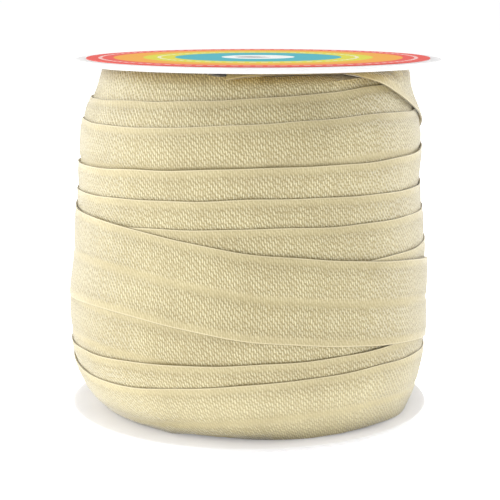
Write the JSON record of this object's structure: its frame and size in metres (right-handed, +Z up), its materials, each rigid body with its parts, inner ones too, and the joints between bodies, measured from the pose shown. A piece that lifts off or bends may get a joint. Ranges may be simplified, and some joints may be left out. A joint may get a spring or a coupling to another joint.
{
  "type": "roll of fold-over elastic",
  "caption": "Round flanged spool wound with fold-over elastic in slanting, overlapping wraps, with the loose end tucked in under the upper flange.",
  "frame": {"origin": "middle of the part's box on the plane it rests on; the spool's bore runs along Z through it", "axes": "+Z up the spool's bore, +X to the right of the side where the cut end shows, -Y out of that side"},
  "size_m": [0.0738, 0.072, 0.07],
  "materials": {
    "plastic": "thin white plastic, slightly see-through, satin",
    "board": "rolled kraft board, matt",
    "paper": "coated paper printed with plain coloured rings",
    "elastic": "knitted fold-over elastic, one side shiny, pale khaki"
  },
  "bodies": {
    "root": {"flange_bottom": "plastic", "flange_top": "plastic", "spool_core": "board", "label_disc": "paper", "wound_elastic": "elastic", "loose_end": "elastic"}
  },
  "joints": []
}
